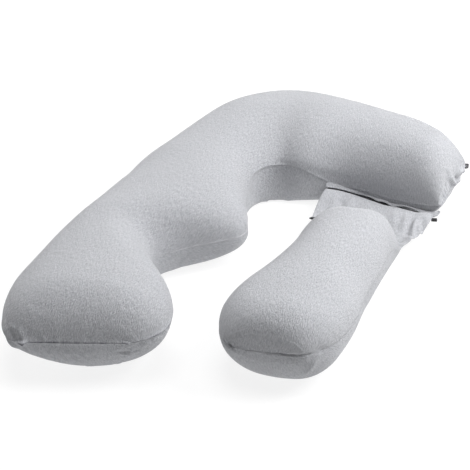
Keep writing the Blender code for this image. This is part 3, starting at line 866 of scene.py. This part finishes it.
def flap_wave(x, column):
    """A column of FLAP_WAVES, read smoothly at plan x."""
    shares, values = np.array(FLAP_WAVES)[:, 0], np.array(FLAP_WAVES)[:, column]
    return float(smooth_through(shares, values[:, None], np.array([along_join(x)]))[0, 0])


def strip_mesh(name, loops):
    """A strip through equal loops of points, shut at both ends."""
    count, around = len(loops), len(loops[0])
    faces = []
    for i in range(count - 1):
        for k in range(around):
            after = (k + 1) % around
            faces.append((i * around + k, i * around + after,
                          (i + 1) * around + after, (i + 1) * around + k))
    faces += [tuple(range(around))[::-1],
              tuple((count - 1) * around + k for k in range(around))]
    return add_thing(name, [tuple(p) for loop in loops for p in loop], faces)


def flap_section(x):
    """The folded strip's outline at plan x, as (y, z) going round it."""
    t = along_join(x)
    width = flap_wave(x, 2)
    z = flap_height(x) + flap_wave(x, 1)
    fall = FLAP_FALL + 0.06 * math.sin(9.0 * t) + 0.05 * math.sin(23.0 * t + 1.0)
    root = clear_of_head(x, z, 2 * FLAP_ROLL) + 1.2 * max(x - JOIN_RIGHT - 0.004, 0.0)
    forward, down = math.cos(fall), math.sin(fall)

    def place(out, above):
        return (root - FLAP_ROLL - out * forward - above * down, z - out * down + above * forward)

    half = FLAP_LAYER / 2
    roll = [place(-FLAP_ROLL * math.cos(a), FLAP_ROLL * math.sin(a))
            for a in np.linspace(-2.2, 2.2, 9)]
    upper = [place(FLAP_ROLL * 1.3, half * 0.8), place(width * 0.32, half * 1.15),
             place(width * 0.52, half * 1.25), place(width * 0.60, half * 0.55),
             place(width * 0.68, half * 1.25), place(width * 0.86, half * 1.5),
             place(width * 0.95, half * 1.1), place(width, 0.0)]
    lower = [place(width * 0.95, -half), place(width * 0.6, -half),
             place(FLAP_ROLL * 1.3, -half * 0.8)]
    return roll + upper + lower


flap_x = np.linspace(JOIN_LEFT - FLAP_PAST_LEFT, JOIN_RIGHT + FLAP_PAST_RIGHT, 190)
flap_loops = []
for i, x in enumerate(flap_x):
    points = np.array(flap_section(x))
    middle = points.mean(axis=0)
    from_end = min(i, len(flap_x) - 1 - i)
    points = middle + (points - middle) * min(1.0, 0.35 + 0.3 * from_end)    # rounds its two ends
    flap_loops.append([(x + PLAN_SHIFT[0], y + PLAN_SHIFT[1], z) for y, z in points])
flap = strip_mesh("flap", flap_loops)
flap.data.shade_smooth()
layer = flap.data.uv_layers.new(name="grain")
around = len(flap_loops[0])
for loop in flap.data.loops:
    ring, place = divmod(loop.vertex_index, around)
    layer.data[loop.index].uv = (flap_x[ring], 7.0 + 0.003 * place)
flap.data.materials.append(jersey)
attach(flap, "root")
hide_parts("join_flap")

# ---------------------------------------------------------------------------------------------
# Zip of the join. Black woven tape with a row of small black moulded teeth, closed, sewn between
# the head and the leg's empty cover. Its free part waves with the flap.
ZIP_TOOTH = 0.0030         # pitch of the teeth
TOOTH_LENGTH = 0.0036
TOOTH_HALF_WIDE, TOOTH_HALF_HIGH = 0.00062, 0.0011
TAPE_HALF = 0.0006         # half the tape's thickness


def black_tape():
    """Black polyester: matte woven tape, slightly dusty on the ribs."""
    cloth, nodes, links, shader = new_finish("black_zip", 0.6)
    place = nodes.new("ShaderNodeTexCoord")
    weave = nodes.new("ShaderNodeTexWave")
    weave.bands_direction = "X"
    weave.inputs["Scale"].default_value = 420.0
    weave.inputs["Distortion"].default_value = 1.2
    links.new(place.outputs["Object"], weave.inputs["Vector"])
    links.new(two_colours(nodes, links, weave.outputs["Fac"], (0.006, 0.006, 0.008),
                          (0.022, 0.022, 0.026)), shader.inputs["Base Color"])
    raise_relief(nodes, links, shader, weave.outputs["Fac"], 0.5, 0.0003)
    return cloth


zip_black = black_tape()
tape_loops, tooth_points, tooth_faces = [], [], []
tooth_count = int((JOIN_RIGHT - JOIN_LEFT - 0.004) / ZIP_TOOTH)
for x in np.linspace(JOIN_LEFT, JOIN_RIGHT, 150):
    z = zip_height(x)
    back, front = clear_of_head(x, z, ZIP_THICK), zip_front(x)
    rise = 0.0007 * math.sin(70.0 * x) + 0.0005 * math.sin(131.0 * x)
    section = [(back, z + TAPE_HALF), (front + 0.006, z + TAPE_HALF + rise * 0.6),
               (front, z + TAPE_HALF + rise * 0.2), (front, z - TAPE_HALF + rise * 0.2),
               (front + 0.006, z - TAPE_HALF + rise * 0.6), (back, z - TAPE_HALF)]
    tape_loops.append([(x + PLAN_SHIFT[0], y + PLAN_SHIFT[1], h) for y, h in section])
zip_tape = strip_mesh("zip_tape", tape_loops)
zip_tape.data.shade_smooth()
ring = [(math.cos(a), math.sin(a)) for a in np.linspace(0, 2 * math.pi, 8, endpoint=False)]
for n in range(tooth_count):
    x = JOIN_LEFT + 0.002 + (n + 0.5) * ZIP_TOOTH
    z, front = zip_height(x), zip_front(x) + 0.0045
    for side in (-1, 1):
        first = len(tooth_points)
        tooth_x = x + side * ZIP_TOOTH * 0.25 + PLAN_SHIFT[0]
        tooth_y = front + side * 0.0012 + PLAN_SHIFT[1]
        for end, small in ((-0.5, 0.6), (-0.3, 1.0), (0.3, 1.0), (0.5, 0.6)):
            for c, q in ring:
                tooth_points.append((tooth_x + c * TOOTH_HALF_WIDE * small,
                                     tooth_y + end * TOOTH_LENGTH,
                                     z + 0.0004 + q * TOOTH_HALF_HIGH * small))
        for r in range(3):
            for k in range(8):
                a, b = first + r * 8 + k, first + r * 8 + (k + 1) % 8
                tooth_faces.append((a, b, b + 8, a + 8))
        tooth_faces.append(tuple(first + k for k in range(8))[::-1])
        tooth_faces.append(tuple(first + 24 + k for k in range(8)))
zip_teeth = add_thing("zip_teeth", tooth_points, tooth_faces)
zip_teeth.data.shade_smooth()


def moulded_black():
    """Black moulded plastic and lacquered metal of the zip's small parts, with rubbed edges."""
    hard, nodes, links, shader = new_finish("black_moulded", 0.4)
    place = nodes.new("ShaderNodeTexCoord")
    rub = nodes.new("ShaderNodeTexNoise")
    rub.inputs["Scale"].default_value = 900.0
    links.new(place.outputs["Object"], rub.inputs["Vector"])
    links.new(two_colours(nodes, links, rub.outputs["Fac"], (0.007, 0.007, 0.009),
                          (0.024, 0.024, 0.027), 0.35, 0.75), shader.inputs["Base Color"])
    gloss = nodes.new("ShaderNodeMapRange")
    gloss.inputs["To Min"].default_value = 0.32
    gloss.inputs["To Max"].default_value = 0.5
    links.new(rub.outputs["Fac"], gloss.inputs["Value"])
    links.new(gloss.outputs["Result"], shader.inputs["Roughness"])
    return hard


moulded = moulded_black()
zip_tape.data.materials.append(zip_black)
zip_teeth.data.materials.append(moulded)
for piece in (zip_tape, zip_teeth):
    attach(piece, "root")
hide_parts("join_zip")

# ---------------------------------------------------------------------------------------------
# Small trim. The slider with its puller at the right end of the join, the end of the leg cover's
# own zip at the left edge of the tail, and the grey pull tab at the head's back corner.


def node_box(name):
    """Middle and size of a CAD node."""
    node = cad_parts[name]
    corners = np.array([node.matrix_world @ v.co for v in node.data.vertices])
    least, most = corners.min(axis=0), corners.max(axis=0)
    return (least + most) / 2, most - least


def rounded_parts(name, parts):
    """One mesh of several rounded blocks: (middle, size, turn about Z and about X, bevel)."""
    bm = bmesh.new()
    for middle, size, turn_z, turn_x, bevel in parts:
        made = bmesh.ops.create_cube(bm, size=1.0)["verts"]
        bmesh.ops.scale(bm, vec=size, verts=made)
        edges = list({e for v in made for e in v.link_edges})
        rounded = bmesh.ops.bevel(bm, geom=edges, offset=bevel, segments=3, affect="EDGES",
                                  profile=0.5)
        made = list({v for f in rounded["faces"] for v in f.verts}
                    | {v for v in made if v.is_valid})
        place = (Matrix.Translation(Vector(middle)) @ Matrix.Rotation(turn_z, 4, "Z")
                 @ Matrix.Rotation(turn_x, 4, "X"))
        bmesh.ops.transform(bm, matrix=place, verts=made)
    thing = add_thing(name, [], [])
    bm.to_mesh(thing.data)
    bm.free()
    thing.data.shade_smooth()
    return thing


SLIDER_TURN, SIDE_END_TURN = 0.35, 0.20
middle, size = node_box("zip_slider")
size = size * 1.25
slider = rounded_parts("slider", (
    (middle + (-0.0005, 0, 0.0012), size * (0.86, 0.92, 0.34), SLIDER_TURN, 0.0, 0.0011),
    (middle + (-0.0005, 0, -0.0018), size * (0.80, 0.84, 0.30), SLIDER_TURN, 0.0, 0.0010),
    (middle + (-0.0030, 0.0010, 0.0), (0.0030, 0.0036, 0.0052), SLIDER_TURN, 0.0, 0.0009),
    (middle + (0.0035, -0.0008, -0.0002), (0.0062, 0.0040, 0.0018), SLIDER_TURN, 0.25, 0.0007),
))
middle, size = node_box("side_zip_end")
middle, size = middle + (0.0115, -0.0090, 0.0090), size * (1.5, 1.2, 1.4)
side_end = rounded_parts("side_end", (
    (middle, size * (1.0, 0.62, 0.42), SIDE_END_TURN, 0.0, 0.0008),
    (middle + (0.0028, 0, 0.0003), size * (0.34, 1.0, 0.86), SIDE_END_TURN, 0.0, 0.0010),
    (middle + (-0.0034, 0, 0.0002), size * (0.22, 0.86, 0.70), SIDE_END_TURN, 0.0, 0.0008),
))
for piece, node in ((slider, "zip_slider"), (side_end, "side_zip_end")):
    piece.data.materials.append(moulded)
    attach(piece, "root")
    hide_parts(node)


def grey_webbing():
    """Folded grey webbing with darker, worn edges."""
    web, nodes, links, shader = new_finish("grey_webbing", 0.75)
    place = nodes.new("ShaderNodeTexCoord")
    rib = nodes.new("ShaderNodeTexWave")
    rib.bands_direction = "Z"
    rib.inputs["Scale"].default_value = 300.0
    rib.inputs["Distortion"].default_value = 2.0
    links.new(place.outputs["Object"], rib.inputs["Vector"])
    links.new(two_colours(nodes, links, rib.outputs["Fac"], (0.10, 0.10, 0.105),
                          (0.27, 0.27, 0.28)), shader.inputs["Base Color"])
    raise_relief(nodes, links, shader, rib.outputs["Fac"], 0.5, 0.0004)
    return web


middle, size = node_box("corner_pull")
webbing = grey_webbing()
PULL_TURN = -0.75          # the tab faces the open corner


def on_tab(out, aside, up):
    """A place on the tab: outwards, sideways and up from its middle."""
    return middle + np.array((out * math.cos(PULL_TURN) - aside * math.sin(PULL_TURN),
                              out * math.sin(PULL_TURN) + aside * math.cos(PULL_TURN), up))


pull_tab = rounded_parts("pull_tab", (
    (on_tab(0, 0, 0), size * (0.62, 0.84, 0.92), PULL_TURN, 0.0, 0.0013),
))
RIM_BARS = ((0.0046, 0.0, (0.0036, 0.0016, 0.0130)), (-0.0046, 0.0, (0.0036, 0.0016, 0.0130)),
            (0.0, -0.0062, (0.0036, 0.0092, 0.0016)), (0.0, 0.0062, (0.0036, 0.0092, 0.0016)))
pull_rim = rounded_parts("pull_rim", [
    (on_tab(0.0008, aside, up), bar, PULL_TURN, 0.0, 0.0007) for aside, up, bar in RIM_BARS
])
pull_tab.data.materials.append(webbing)
pull_rim.data.materials.append(moulded)
for piece in (pull_tab, pull_rim):
    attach(piece, "root")
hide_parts("corner_pull")

# ---------------------------------------------------------------------------------------------
# Studio. A white paper floor that glows a little, so that it has hardly any shadow, one strong
# soft light from the right behind, one overhead, weak ones all round, and the photograph's camera.
FLOOR_HALF = 9.0
FLOOR_TOP = -0.0005        # just below the pillow's underside
floor = add_thing("studio_floor", [(x * FLOOR_HALF, y * FLOOR_HALF, FLOOR_TOP)
                                   for x, y in ((-1, -1), (1, -1), (1, 1), (-1, 1))],
                  [(0, 1, 2, 3)])
paper, _, _, shader = new_finish("white_paper", 1.0)
shader.inputs["Base Color"].default_value = (0.19, 0.19, 0.19, 1)
shader.inputs["Emission Color"].default_value = (1, 1, 1, 1)
shader.inputs["Emission Strength"].default_value = 0.82
floor.data.materials.append(paper)


AIM_HEIGHT = 0.1           # the lights point at the middle of the pillow


def soft_light(name, azimuth, elevation, distance, size, watts):
    """A round soft light, azimuth in degrees from +X towards +Y, aimed at the pillow."""
    a, e = math.radians(azimuth), math.radians(elevation)
    place = Vector((distance * math.cos(a) * math.cos(e), distance * math.sin(a) * math.cos(e),
                    distance * math.sin(e) + AIM_HEIGHT))
    light = bpy.data.lights.new(name, "AREA")
    light.shape = "DISK"
    light.size = size
    light.energy = watts
    lamp = bpy.data.objects.new(name, light)
    lamp.location = place
    lamp.rotation_mode = "QUATERNION"
    lamp.rotation_quaternion = (Vector((0, 0, AIM_HEIGHT)) - place).to_track_quat("-Z", "Y")
    bpy.context.scene.collection.objects.link(lamp)


soft_light("right", 26, 42, 3.2, 1.8, 95)
soft_light("right_front", -19, 42, 3.2, 1.8, 12)
soft_light("right_low", 45, 12, 3.2, 1.8, 24)
soft_light("left_low", 161, 12, 3.2, 1.8, 44)
soft_light("left_high", 161, 42, 3.2, 1.8, 14)
soft_light("overhead", 0, 89, 3.4, 2.4, 87)
world = bpy.data.worlds.new("studio")
world.use_nodes = True
world.node_tree.nodes["Background"].inputs["Color"].default_value = (1, 1, 1, 1)
world.node_tree.nodes["Background"].inputs["Strength"].default_value = 0.01
bpy.context.scene.world = world
bpy.context.scene.view_settings.view_transform = "Standard"

# The camera's azimuth turns from straight in front, at -Y, towards +X.
CAMERA_AZIMUTH = math.radians(26.0)
CAMERA_ELEVATION = math.radians(32.5)
CAMERA_DISTANCE = 2.8756
CAMERA_LENS = 87.63        # mm, for a frame 36 mm wide
CAMERA_AIM = Vector((PLAN_SHIFT[0], PLAN_SHIFT[1], 0.1106))
back = Vector((math.sin(CAMERA_AZIMUTH) * math.cos(CAMERA_ELEVATION),
               -math.cos(CAMERA_AZIMUTH) * math.cos(CAMERA_ELEVATION),
               math.sin(CAMERA_ELEVATION)))
camera_data = bpy.data.cameras.new("camera")
camera_data.sensor_width = 36.0
camera_data.lens = CAMERA_LENS
camera = bpy.data.objects.new("camera", camera_data)
camera.location = CAMERA_AIM + back * CAMERA_DISTANCE
camera.rotation_mode = "QUATERNION"
camera.rotation_quaternion = (-back).to_track_quat("-Z", "Y")
bpy.context.scene.collection.objects.link(camera)
bpy.context.scene.camera = camera
